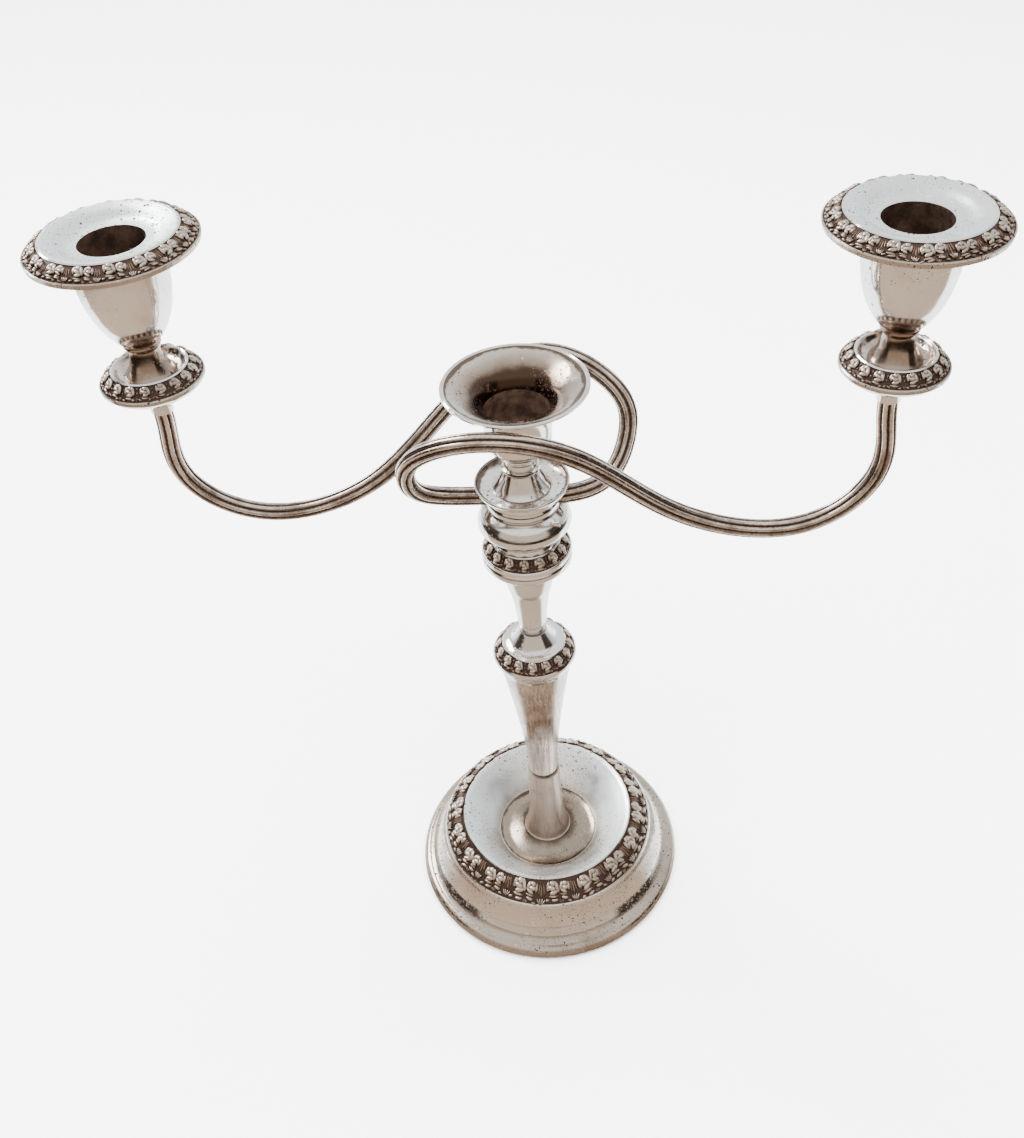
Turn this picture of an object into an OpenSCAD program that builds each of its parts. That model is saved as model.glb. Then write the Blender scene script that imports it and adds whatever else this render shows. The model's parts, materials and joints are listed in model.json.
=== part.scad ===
/* [Base] */
// Diameter of the foot over its rolled rim
base_d = 122; // [112:1:150]
// Height of the rolled rim
rim_h = 6.4; // [4:0.2:8]
// Diameter of the base border's lower edge
base_border_d = 97; // [90:0.5:100]
// Height of the base border's lower edge
base_border_z = 24.2; // [20:0.2:30]
// Diameter of the base border's upper edge
plate_d = 78; // [70:0.5:82]
// Height of the base border's upper edge
plate_z = 31.9; // [28:0.1:38]
// Diameter of the sunk well in the base
well_d = 45.4; // [38:0.2:52]
// Height of the well's edge
well_z = 18; // [14:0.2:22]
// Height of the trumpet that carries the column
trumpet_h = 62; // [50:0.5:75]
// Diameter of the trumpet's top
trumpet_d = 14.6; // [13:0.2:18]
// Thickness of the spun sheet
sheet = 1.2; // [0.8:0.1:1.6]
// Thickness of the felt under the base
felt_t = 1.5; // [1:0.1:3]
// Thickness of the plate that closes the base
closing_t = 1.5; // [1:0.1:2.5]

/* [Column] */
// Height of the lower column
lower_h = 71; // [50:0.5:110]
// Diameter of the lower column at its waist
lower_d = 13; // [11:0.2:15]
// Diameter of the lower column at its top
lower_top_d = 29.6; // [24:0.2:31]
// Height of the knop
knop_h = 19; // [16:0.2:26]
// Diameter of the knop over its lip
knop_d = 34.6; // [32:0.2:42]
// Diameter of the rose border's upper edge on the knop
knop_top_d = 25.6; // [22:0.2:28]
// Diameter of the knop's neck
neck_d = 10.6; // [9:0.2:13]
// Height of the upper column
upper_h = 37; // [26:0.5:60]
// Diameter of the upper column at its top
upper_top_d = 21.6; // [18:0.2:24]
// Height of the shoulder
shoulder_h = 13; // [11.5:0.1:18]
// Diameter of the shoulder
shoulder_d = 35; // [33:0.2:42]
// Diameter of the tie rod
rod_d = 5; // [4:0.5:6]

/* [Socket] */
// Height of the socket above the shoulder
socket_h = 16; // [15:0.2:22]
// Diameter of the socket's bulb
bulb_d = 35.8; // [33:0.2:42]
// Diameter of a candle hole
candle_d = 22.5; // [18:0.1:27]
// Depth of the socket's bore
socket_depth = 20; // [18:0.2:21]

/* [Branch] */
// Height of the hub that takes the arms
hub_h = 7.6; // [7.5:0.1:12]
// Diameter of the hub
hub_d = 27.8; // [27:0.2:31]
// Diameter of the dish above the hub
dish_d = 35.6; // [33:0.2:44]
// Height of the centre stem
stem_h = 16.2; // [14:0.2:24]
// Height of the centre cup
centre_cup_h = 29; // [27:0.5:36]
// Diameter of the centre cup over its rim
centre_rim_d = 52.8; // [48:0.2:54]
// Distance from the stem to each light
arm_reach = 128; // [106:1:160]
// Diameter of an arm over its reeds
arm_d = 7.1; // [5.8:0.1:7.4]
// Number of reeds round an arm
reeds = 8; // [6:1:10]
// Depth of the grooves between the reeds
reed_depth = 0.6; // [0.3:0.1:0.9]
// How far the loop stands out in front of the stem
loop_front = 25; // [24:0.5:34]
// How far the loop swings past the stem
loop_back = 39; // [34:0.5:48]
// Height from the hub's foot to the ferrules
light_rise = 45; // [37:0.5:60]

/* [Lights] */
// Height of the ferrule under a pan
ferrule_h = 6.4; // [5:0.2:9]
// Height of a drip pan over its lip
pan_h = 13.2; // [12:0.2:16]
// Diameter of a drip pan
pan_d = 36.8; // [34:0.2:42]
// Diameter of the upper edge of a pan's border
pan_top_d = 26.4; // [24:0.2:28]
// Height from a pan's floor to its cup
foot_h = 12.1; // [10:0.1:18]
// Height of a cup
cup_h = 36.9; // [32:0.1:44]
// Diameter of a cup at its rim
cup_d = 32.4; // [31:0.2:38]
// Diameter of a nozzle over its lip
nozzle_d = 57.9; // [54:0.1:64]
// Diameter of the upper edge of a nozzle's border
nozzle_top_d = 45.2; // [43:0.2:50]
// Rise of a nozzle above the rim of its cup
nozzle_h = 5; // [3.4:0.1:7]
// Length of the spigot that a nozzle drops into its cup
spigot_l = 20; // [14:0.5:24]

/* [Fits] */
// Radial gap of a plug or spigot that lifts out
lift_gap = 0.2; // [0.1:0.05:0.4]
// Radial gap of a part that turns on the centre screw
turn_gap = 0.06; // [0.03:0.01:0.1]
// Radial gap of a soldered or screwed joint
fixed_gap = 0.05; // [0.02:0.01:0.1]

/* [Hidden] */

// Heights of the stacked pieces above the table
z_knop = trumpet_h + lower_h;
z_upper = z_knop + knop_h;
z_shoulder = z_upper + upper_h;
z_socket = z_shoulder + shoulder_h;
z_hub = z_socket + socket_h;
z_dish = z_hub + hub_h;
z_stem = z_dish + sheet;
z_cup = z_stem + stem_h;
z_arm = z_dish - arm_d / 2 - 0.15;
z_ferrule = z_hub + light_rise;
z_pan = z_ferrule + ferrule_h;
pan_floor = 10;
z_foot = z_pan + pan_floor;
z_light_cup = z_foot + foot_h;
z_rim = z_light_cup + cup_h;
z_top = z_rim + nozzle_h;

// Shared radii
rod_r = rod_d / 2;
arm_r = arm_d / 2;
candle_r = candle_d / 2;
tube_r = candle_r + sheet;
cup_wall = 1;
spigot_r = candle_r + 1.1;
cup_bore_r = spigot_r + lift_gap;
cup_r = max(cup_d / 2, cup_bore_r + 3.65);
pan_floor_r = pan_top_d / 2 - 4;
screw_r = 2;
plug_l = socket_depth - 2;
border_t = 1;
lip = 0.6;
proud = 0.7;
fine = 96;

silver = "#b9b0a4";
dark_silver = "#7d7065";

// Catmull-Rom curve through the points p, with n steps a span
function curve(p, n = 5) = concat([for (i = [0 : len(p) - 2], k = [0 : n - 1])
    let (a = p[max(i - 1, 0)], b = p[i], c = p[i + 1], d = p[min(i + 2, len(p) - 1)], t = k / n)
    (2 * b + (c - a) * t + (2 * a - 5 * b + 4 * c - d) * t * t
     + (3 * b - a - 3 * c + d) * t * t * t) / 2], [p[len(p) - 1]]);

// Uniform cubic B-spline with the control points p, from the first point to the last
function control(p, i) = i < 0 ? 2 * p[0] - p[1]
    : i >= len(p) ? 2 * p[len(p) - 1] - p[len(p) - 2] : p[i];
function spline(p, n) = [for (i = [0 : len(p) - 2], k = [0 : n - (i < len(p) - 2 ? 1 : 0)])
    let (t = k / n, a = control(p, i - 1), b = p[i], c = p[i + 1], d = control(p, i + 2))
    (pow(1 - t, 3) * a + (3 * pow(t, 3) - 6 * t * t + 4) * b
     + (-3 * pow(t, 3) + 3 * t * t + 3 * t + 1) * c + pow(t, 3) * d) / 6];

// Arc round centre c from angle a to angle b
function arc(c, r, a, b, n = 12) = [for (i = [0 : n]) let (g = a + (b - a) * i / n)
    c + r * [cos(g), sin(g)]];

// Tapered side that widens from r0 to r1 over the height h
function taper(r0, r1, h, z, power, n = 14) = [for (i = [0 : n])
    [r0 + (r1 - r0) * pow(i / n, power), z + h * i / n]];

function unit(v) = v / norm(v);
function reverse(p) = [for (i = [len(p) - 1 : -1 : 0]) p[i]];

// The path p moved towards the axis side by t
function inset(p, t) = [for (i = [0 : len(p) - 1])
    let (d = unit(p[min(i + 1, len(p) - 1)] - p[max(i - 1, 0)])) p[i] + t * [-d[1], d[0]]];

// Channel for a border between its lower edge a and its upper edge b
function channel(a, b) = let (e = unit(b - a), n = [-e[1], e[0]])
    [a, a + lip * e, a + lip * e + border_t * n, b - lip * e + border_t * n, b - lip * e, b];

module turned(p) rotate_extrude($fn = fine) polygon(p);
module right_light() translate([arm_reach, 0, 0]) children();
module left_light() rotate(180) right_light() children();

// Cast ring that fills the channel between a and b and stands a little proud of it
module rose_ring(a, b) {
  e = unit(b - a);
  n = [-e[1], e[0]];
  width = norm(b - a) - 2 * lip;
  face = [for (i = [0 : 8]) a + e * (lip + width * i / 8) - n * (proud * sin(180 * i / 8))];
  color(dark_silver) turned(concat([a + lip * e + border_t * n], face, [b - lip * e + border_t * n]));
}

// Border edges: [lower edge, upper edge]
base_edge = [[base_border_d / 2, base_border_z], [plate_d / 2, plate_z]];
knop_edge = [[knop_d / 2 - 0.1, z_knop + 7.1], [knop_top_d / 2, z_knop + 12.5]];
shoulder_edge = [[shoulder_d / 2 - 0.1, z_shoulder + 8.1], [tube_r + 0.75, z_socket]];
pan_edge = [[pan_d / 2, z_pan + 8.4], [pan_top_d / 2, z_pan + pan_h]];
nozzle_edge = [[nozzle_d / 2, z_rim + 0.8], [nozzle_top_d / 2, z_top]];

// Outside of the base: rolled rim, cove below the border, and plate above it
rim_r = rim_h / 2;
rim_c = [base_d / 2 - rim_r, rim_r + 0.4];
base_cove = curve([rim_c + rim_r * [cos(98), sin(98)], [rim_c[0] - 2.6, rim_h + 1.6],
                   [base_border_d / 2 + 4.1, rim_h + 4.6], [base_border_d / 2 + 2.1, rim_h + 8.6],
                   [base_border_d / 2 + 0.9, rim_h + 12.8], [base_border_d / 2 + 0.5, base_border_z - 1]]);
base_plate = curve([[plate_d / 2 - 1.2, plate_z - 0.3], [plate_d / 2 - 7, plate_z - 5],
                    [well_d / 2 + 1.4, well_z + 0.9], [well_d / 2, well_z]]);

// Radius of the discs that close the base
disc_r = rim_c[0] - rim_r - 0.2;

// Path under the base's sheet, at the depth t below its outside
function base_under(t) = let (c = channel(base_edge[0], base_edge[1]), n = unit(c[2] - c[1])) concat(
    [for (p = inset(base_cove, t)) if (p[0] < disc_r && p[1] < base_border_z - 2.5) p],
    [c[2] + t * n, c[3] + t * n],
    [for (p = inset(base_plate, t)) if (p[0] < plate_d / 2 - 2 && p[0] > well_d / 2 + 1) p]);

module base_shell() color(silver)
  turned(concat(arc(rim_c, rim_r, 165, 448, 20), base_cove, channel(base_edge[0], base_edge[1]),
                base_plate, [[well_d / 2, well_z - sheet]], reverse(base_under(sheet))));

// Outside of the trumpet from the well's edge to its top
trumpet_r = trumpet_d / 2;
well_floor = curve([[well_d / 2, well_z - 0.2], [well_d / 2 - 3.6, well_z - 1.3],
                    [trumpet_r + 7.4, well_z + 0.1], [trumpet_r + 4, well_z + 2]]);
trumpet_side = curve([[trumpet_r + 3.1, well_z + 2.8], [trumpet_r + 2.4, well_z + 5.4],
    [trumpet_r + 1.2, well_z + 11.5], [trumpet_r + 0.5, well_z + 19],
    [trumpet_r + 0.1, trumpet_h - 12], [trumpet_r, trumpet_h]]);
module stem_foot() {
  inner = concat([for (p = inset(well_floor, sheet))
                    if (p[0] > trumpet_r + 3.6 && p[0] < well_d / 2 - 0.8) p],
    [for (p = inset(trumpet_side, sheet)) if (p[1] > well_z + 3.2 && p[1] < trumpet_h - 0.5) p]);
  color(silver) turned(concat(well_floor, trumpet_side, [[trumpet_r - sheet, trumpet_h]],
    reverse(inner), [[well_d / 2, well_z - sheet]]));
}

module base_border() rose_ring(base_edge[0], base_edge[1]);

// Bottom of the base: felt, closing plate, then the filling with a pocket for the nut
z_weight = felt_t + closing_t;
nut_h = 4;
washer_t = 1.2;
z_pocket = z_weight + 0.8 + nut_h + washer_t;
module base_felt() color("#3a5a3c") cylinder(h = felt_t, r = disc_r, $fn = fine);
module closing_plate() {
  color("#8f8a80") translate([0, 0, felt_t]) cylinder(h = closing_t, r = disc_r, $fn = fine);
}
module base_weight() {
  gap = sheet + 0.3;
  floor_z = well_z - 1.3 - gap;
  side = [for (p = base_under(gap)) [min(p[0], disc_r - 1), p[1]]];
  color("#c9c2b2") difference() {
    turned(concat([[0, z_weight], [disc_r - 1, z_weight]], side,
                  [[well_d / 2 - 3, floor_z], [0, floor_z]]));
    translate([0, 0, z_weight - 1]) cylinder(h = trumpet_h, r = rod_r + 0.3, $fn = 48);
    translate([0, 0, z_weight - 1]) cylinder(h = z_pocket - z_weight + 1, r = 9, $fn = 48);
  }
}

// Tie rod with its nut and washer, from the base up into the socket's boss
rod_top = z_socket - socket_depth + socket_h - sheet - 1;
module tie_rod() {
  color("#9a9a98") translate([0, 0, z_weight + 0.3])
    cylinder(h = rod_top - z_weight - 0.3, r = rod_r, $fn = 48);
}
module rod_washer() {
  color("#9a9a98") translate([0, 0, z_pocket - washer_t]) difference() {
    cylinder(h = washer_t, r = 8, $fn = 48);
    translate([0, 0, -1]) cylinder(h = washer_t + 2, r = rod_r + fixed_gap, $fn = 48);
  }
}
module rod_nut() {
  color("#9a9a98") translate([0, 0, z_pocket - washer_t - nut_h]) difference() {
    cylinder(h = nut_h, r = rod_r * 1.85, $fn = 6);
    translate([0, 0, -1]) cylinder(h = nut_h + 2, r = rod_r + fixed_gap, $fn = 48);
  }
}

// Lower column: a tapered tube with a spigot in the trumpet's top
spigot_in = 6;
module lower_column() {
  foot = [[lower_d / 2 - 0.4, trumpet_h], [lower_d / 2 - 0.4, trumpet_h + 0.5],
          [lower_d / 2 + 0.1, trumpet_h + 1]];
  side = taper(lower_d / 2, lower_top_d / 2, lower_h - 4.5, trumpet_h + 4.5, 1.4);
  bore = rod_r + 0.6;
  inner = [for (p = side) [max(p[0] - sheet, bore), p[1]]];
  stub_r = trumpet_r - sheet - fixed_gap;
  color(silver) turned(concat([[bore, trumpet_h - spigot_in], [stub_r, trumpet_h - spigot_in],
    [stub_r, trumpet_h]], foot, side, reverse(inner), [[bore, trumpet_h]]));
}

module knop() {
  k = z_knop;
  under = curve([[lower_top_d / 2, k], [lower_top_d / 2 + 1.2, k + 2.4], [knop_d / 2 - 0.8, k + 4.4],
                 [knop_d / 2, k + 5.6]], 4);
  top = curve([knop_edge[1] - [0.9, 0], [knop_top_d / 2 - 3.2, k + 13.6],
               [neck_d / 2 + 2.1, z_upper - 2.6], [neck_d / 2 + 0.3, z_upper]], 4);
  color(silver) turned(concat(under, [[knop_d / 2, k + 6.6]], channel(knop_edge[0], knop_edge[1]), top,
    [[rod_r + 0.3, z_upper], [rod_r + 0.3, k + 8], [knop_top_d / 2 - 2.5, k + 8],
     [lower_top_d / 2 - sheet, k]]));
}
module knop_border() rose_ring(knop_edge[0], knop_edge[1]);

// Upper column: a tube that flares towards the shoulder, with a groove round its foot
module upper_column() {
  r = neck_d / 2;
  flare = upper_top_d / 2 - r;
  shape = [[0.03, 0.03], [0.13, 0.1], [0.28, 0.18], [0.44, 0.31], [0.6, 0.5], [0.7, 0.68],
           [0.85, 0.87], [1, 1]];
  side = curve([for (q = shape) [r + flare * q[1], z_upper + upper_h * q[0]]], 3);
  inner = [for (p = side) [max(p[0] - sheet, rod_r + 0.3), p[1]]];
  color(silver) turned(concat([[r - 0.5, z_upper], [r - 0.5, z_upper + 0.5]], side, reverse(inner),
    [[rod_r + 0.3, z_upper]]));
}

// Shoulder: a shell that carries the column's load to the socket
module shoulder() {
  s = z_shoulder;
  side = concat(curve([[upper_top_d / 2, s], [upper_top_d / 2 + 3.4, s + 1.2],
    [shoulder_d / 2 - 0.8, s + 2.2], [shoulder_d / 2, s + 3.2]], 4),
    [[shoulder_d / 2, s + 5.4], [shoulder_d / 2 - 0.5, s + 6], [shoulder_d / 2 - 0.5, s + 6.6],
     [shoulder_d / 2, s + 7]],
    channel(shoulder_edge[0], shoulder_edge[1]));
  hole = tube_r + fixed_gap;
  color(silver) turned(concat(side, [[hole, z_socket], [hole, z_socket - 2.6],
    [max(shoulder_d / 2 - 4, hole + 0.3), s + 7.2], [max(shoulder_d / 2 - 3.2, hole + 0.4), s + 4.4],
    [upper_top_d / 2 + 1.6, s + 2.6],
    [rod_r + 0.3, s + 2.6], [rod_r + 0.3, s]]));
}
module shoulder_border() rose_ring(shoulder_edge[0], shoulder_edge[1]);

// Socket: a squat bulb on a tube that reaches down into the shoulder
module candle_socket() {
  b = z_socket;
  floor_z = z_hub - socket_depth;
  boss_r = rod_r + 2.5;
  rod_hole = rod_top + 0.5;
  mouth_r = max(hub_d / 2 - 0.3, candle_r + 1.5);
  bulb_r = max(bulb_d / 2, mouth_r + 2);
  side = concat([[tube_r, b], [tube_r + 0.5, b + 0.2], [tube_r + 0.5, b + 1.2]],
    curve([[tube_r - 0.1, b + 2], [tube_r + 0.4, b + 3.6], [bulb_r - 2, b + 5.8],
           [bulb_r - 0.3, b + 7.8], [bulb_r, b + 9.4], [bulb_r - 0.4, z_hub - 4.6],
           [bulb_r - 1.7, z_hub - 2], [mouth_r, z_hub]], 5));
  color(silver) turned(concat([[0, rod_hole], [rod_r + fixed_gap, rod_hole],
    [rod_r + fixed_gap, floor_z - sheet - 3.4], [boss_r, floor_z - sheet - 3.4],
    [boss_r, floor_z - sheet], [tube_r, floor_z - sheet]], side,
    [[candle_r, z_hub], [candle_r, floor_z], [0, floor_z]]));
}

// Plug of the branch, and the screw that holds hub, stem and cup on it
z_plug = z_hub - plug_l;
z_cup_floor = z_cup + 2.2;
module plug() {
  color(silver) difference() {
    turned([[0, z_plug], [candle_r - lift_gap - 0.6, z_plug], [candle_r - lift_gap, z_plug + 0.8],
            [candle_r - lift_gap, z_hub], [0, z_hub]]);
    translate([0, 0, z_plug - 1]) cylinder(h = plug_l + 2, r = screw_r + fixed_gap, $fn = 48);
    translate([0, 0, z_plug - 1]) cylinder(h = plug_l - 5, r = candle_r - lift_gap - 2, $fn = 64);
  }
}
module centre_screw() {
  head_h = 2;
  color("#9a9a98") {
    translate([0, 0, z_hub - 8]) cylinder(h = z_cup_floor - z_hub + 8.5, r = screw_r, $fn = 48);
    translate([0, 0, z_cup_floor]) cylinder(h = head_h, r = 4, $fn = 48);
  }
}
module screw_hole() {
  cylinder(h = z_top, r = screw_r + turn_gap, $fn = 48);
}

module hub() {
  h = z_hub;
  r = hub_d / 2;
  color(silver) difference() {
    turned([[0, h], [r - 0.4, h], [r - 0.4, h + 0.5], [r, h + 0.9], [r, h + 4.2], [r - 0.4, h + 4.6],
            [r - 0.4, h + 5.1], [r, h + 5.6], [r, z_dish], [0, z_dish]]);
    screw_hole();
    for (side = [0, 180]) rotate(side) translate([arm_root, 0, z_arm]) rotate([0, 90, 0])
      cylinder(h = hub_d, r = arm_r + fixed_gap, $fn = 48);
  }
}
arm_root = hub_d / 2 - 5.4;

module dish() {
  r = dish_d / 2;
  d = z_dish;
  color(silver) difference() {
    turned(concat(curve([[hub_d / 2, d], [r - 2, d + 0.8], [r - 0.5, d + 2.2], [r, d + 3.3]], 4),
      arc([r - 0.45, d + 3.5], 0.45, 0, 180, 6),
      curve([[r - 1.1, d + 3], [r - 2.4, d + 2.2], [r - 4.5, d + 1.5], [11.4, d + sheet]], 4),
      [[0, d + sheet], [0, d]]));
    screw_hole();
  }
}

module centre_stem() {
  s = z_stem;
  t = z_cup;
  color(silver) difference() {
    turned(concat([[0, s], [11.2, s]],
      curve([[11, s + 0.5], [9.4, s + 2.4], [7.6, s + 5.4], [6.5, s + 8]], 4),
      [[7, s + 8.3], [7.2, s + 9], [7, s + 9.7], [6.2, s + 10], [6.1, t - 3], [6.7, t - 2.4],
       [7.1, t - 1.6], [7.1, t], [0, t]]));
    screw_hole();
  }
}

// Centre cup: bell mouth over a straight bore that takes a candle
module centre_cup() {
  c = z_cup;
  wall_r = candle_r + cup_wall;
  rim = centre_rim_d / 2;
  top = c + centre_cup_h;
  outside = curve([[7.1, c], [9.6, c + 0.9], [wall_r - 1, c + 3], [wall_r - 0.2, c + 6],
                   [wall_r, c + 10], [wall_r + 0.3, c + 15], [wall_r + 1.4, top - 10],
                   [wall_r + 4, top - 6.2], [rim - 5.2, top - 3], [rim - 0.8, top - 1.5]]);
  inside = curve([[rim - 1.5, top - 0.4], [rim - 5.4, top - 1.9], [wall_r + 3, top - 5.4],
                  [wall_r + 0.4, top - 9], [candle_r, top - 13]]);
  color(silver) difference() {
    turned(concat([[0, c]], outside, [[rim, top - 1.1], [rim, top - 0.5], [rim - 0.6, top]], inside,
                  [[candle_r, c + 6], [candle_r - 2, z_cup_floor], [0, z_cup_floor]]));
    screw_hole();
  }
}

// Centreline of the right arm: out of the hub's far side, round in front of the stem and out
reach = arm_reach;
arm_path = [[-arm_root - 0.3, 0, z_arm], [-arm_root - 6, 0, z_arm], [-loop_back + 6, -3, z_arm + 2],
            [-loop_back - 1.5, -17, z_hub + 20.5], [-loop_back, -loop_front + 5, z_hub + 38],
            [-8, -loop_front - 6.6, z_hub + 54.5], [0.2 * reach, -loop_front + 5, z_hub + 37.5],
            [0.417 * reach, -9.5, z_hub], [0.798 * reach, -5.5, z_hub - 14],
            [reach + 4.2, -1.6, z_hub + 11], [reach, 0, z_ferrule - 8],
            [reach, 0, z_ferrule], [reach, 0, z_ferrule + 3.6]];

// Section across the reeds: ring of unit points, and its radius at each
side_points = 4 * reeds;
function reed_r(k) = arm_r - reed_depth * (1 - abs(cos(180 * reeds * k / side_points)));

// Directions across the path, carried along it without twist
function across(path, u, i = 0) = i >= len(path) ? []
    : let (d = unit(path[min(i + 1, len(path) - 1)] - path[max(i - 1, 0)]), w = unit(u - d * (u * d)))
    concat([[w, cross(d, w)]], across(path, w, i + 1));

module sweep(path, first) {
  m = side_points;
  n = len(path);
  dirs = across(path, first);
  points = [for (i = [0 : n - 1], k = [0 : m - 1])
    path[i] + reed_r(k) * (cos(360 * k / m) * dirs[i][0] + sin(360 * k / m) * dirs[i][1])];
  walls = [for (i = [0 : n - 2], k = [0 : m - 1], half = [0, 1])
    let (a = i * m + k, b = i * m + (k + 1) % m)
    half == 0 ? [a, a + m, b] : [b, a + m, b + m]];
  ends = [[for (k = [0 : m - 1]) k], [for (k = [m - 1 : -1 : 0]) (n - 1) * m + k]];
  polyhedron(points, concat(walls, ends));
}
module arm() color(silver) sweep(spline(arm_path, 5), [0, 0, 1]);
module arm_right() arm();
module arm_left() rotate(180) arm();

// One light: ferrule, pan with border, cup on its foot, and the screw through them
module ferrule() {
  f = z_ferrule;
  color(silver) difference() {
    turned([[0, f], [arm_r + 0.5, f], [arm_r + 0.5, f + 3.6], [arm_r + 0.8, f + 4.4],
            [arm_r + 1.5, f + 5.2], [arm_r + 1.5, z_pan], [0, z_pan]]);
    translate([0, 0, f - 1]) cylinder(h = 4.8, r = arm_r + fixed_gap, $fn = 48);
    cylinder(h = z_top, r = screw_r + fixed_gap, $fn = 48);
  }
}

// Pan: a spun top with the border's seat, closed below by a bowl
bowl_top = z_pan + 7.2;
module pan() {
  r = pan_d / 2;
  color(silver) difference() {
    turned(concat([[r, bowl_top]], channel(pan_edge[0], pan_edge[1]),
      curve([pan_edge[1] - [0.9, 0.6], [pan_floor_r + 1.8, z_foot + 0.8], [pan_floor_r, z_foot]], 4),
      [[0, z_foot], [0, z_foot - sheet], [pan_floor_r + 1.4, z_foot - sheet],
       [pan_floor_r + 3.4, z_foot - 0.2], [r - 1.6, bowl_top]]));
    cylinder(h = z_top, r = screw_r + fixed_gap, $fn = 48);
  }
}
module pan_bowl() {
  p = z_pan;
  r = pan_d / 2;
  side = curve([[arm_r + 2, p], [arm_r + 4.4, p + 0.5], [r - 5.4, p + 2.8], [r - 1.6, p + 5.4],
                [r - 0.2, bowl_top]], 5);
  inner = [for (q = inset(side, sheet)) if (q[1] < bowl_top - 0.8 && q[0] < r - 1.6) q];
  color(silver) difference() {
    turned(concat([[0, p]], side, [[r - 1.4, bowl_top]], reverse(inner), [[0, p + sheet]]));
    cylinder(h = z_top, r = screw_r + fixed_gap, $fn = 48);
  }
}
module pan_border() rose_ring(pan_edge[0], pan_edge[1]);

module cup_foot() {
  f = z_foot;
  t = z_light_cup;
  color(silver) difference() {
    turned(concat([[0, f], [pan_floor_r - 0.1, f]],
      curve([[pan_floor_r - 0.3, f + 0.5], [7.8, f + 1.9], [6.3, f + 4.6], [5.4, t - 4], [5.2, t - 2]], 4),
      [[5.4, t - 1.4], [6.3, t - 0.9], [6.6, t - 0.2], [6.6, t], [0, t]]));
    translate([0, 0, f]) cylinder(h = z_top, r = screw_r + fixed_gap, $fn = 48);
  }
}

module cup() {
  c = z_light_cup;
  r = cup_r;
  outside = curve([[6.6, c], [6.5, c + 1], [8.1, c + 2.6], [9.9, c + 5.2], [11.6, c + 8.2],
                   [13.1, c + 11.6], [r - 1.9, c + 15.8], [r - 0.9, c + 21], [r - 0.3, c + 28],
                   [r, z_rim]]);
  inside = [for (p = inset(outside, sheet)) if (p[1] > c + 6 && p[1] < z_rim - 4) p];
  color(silver) difference() {
    turned(concat([[0, c]], outside, [[cup_bore_r, z_rim], [cup_bore_r, z_rim - 4]], reverse(inside),
                  [[5.6, c + 2.6], [0, c + 2.6]]));
    cylinder(h = z_top, r = screw_r + fixed_gap, $fn = 48);
  }
}

module cup_screw() {
  z0 = z_ferrule + 4.4;
  z1 = z_light_cup + 4.4;
  color("#9a9a98") {
    translate([0, 0, z0]) cylinder(h = z1 - z0, r = screw_r, $fn = 48);
    translate([0, 0, z_light_cup + 2.6]) cylinder(h = 1.8, r = 4, $fn = 48);
  }
}

// Nozzle: dished plate with a spigot that drops into the cup
module nozzle() {
  a = nozzle_edge[0];
  b = nozzle_edge[1];
  hole_z = z_rim + 1.4;
  seat_r = cup_r + 0.4;
  color(silver) turned(concat(
    [[candle_r, z_rim - spigot_l], [spigot_r, z_rim - spigot_l], [spigot_r, z_rim], [seat_r, z_rim],
     [seat_r + 0.6, z_rim + 0.9], b + [0.2, -2.4], a + [-1.8, -0.9], a + [-0.9, -1.7],
     a + [-0.2, -1.5]],
    channel(a, b),
    curve([b + [-0.7, 0], [nozzle_top_d / 2 - 4, b[1] - 1], [candle_r + 4, hole_z + 0.6],
           [candle_r, hole_z]], 4)));
}
module nozzle_border() rose_ring(nozzle_edge[0], nozzle_edge[1]);

base_shell();
stem_foot();
base_border();
base_weight();
closing_plate();
base_felt();
tie_rod();
rod_washer();
rod_nut();
lower_column();
knop();
knop_border();
upper_column();
shoulder();
shoulder_border();
candle_socket();
plug();
centre_screw();
hub();
dish();
centre_stem();
centre_cup();
arm_right();
arm_left();
right_light() ferrule();  // ferrule_right
left_light() ferrule();  // ferrule_left
right_light() pan_bowl();  // pan_bowl_right
left_light() pan_bowl();  // pan_bowl_left
right_light() pan();  // pan_right
left_light() pan();  // pan_left
right_light() pan_border();  // pan_border_right
left_light() pan_border();  // pan_border_left
right_light() cup_foot();  // cup_foot_right
left_light() cup_foot();  // cup_foot_left
right_light() cup();  // cup_right
left_light() cup();  // cup_left
right_light() cup_screw();  // cup_screw_right
left_light() cup_screw();  // cup_screw_left
right_light() nozzle();  // nozzle_right
left_light() nozzle();  // nozzle_left
right_light() nozzle_border();  // nozzle_border_right
left_light() nozzle_border();  // nozzle_border_left
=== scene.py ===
# %% [markdown]
# # A silver candlestick with a lift-off branch
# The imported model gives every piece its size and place. This notebook turns each round piece
# again with finer steps, casts the rose borders, draws the reeded arms, and then gives every
# surface a worn silver finish. All lengths are in metres, so a millimetre has a name of its own.

# %% Load the frame
import json
import math
import random

import bpy
import numpy as np
from mathutils import Matrix, Vector

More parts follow.
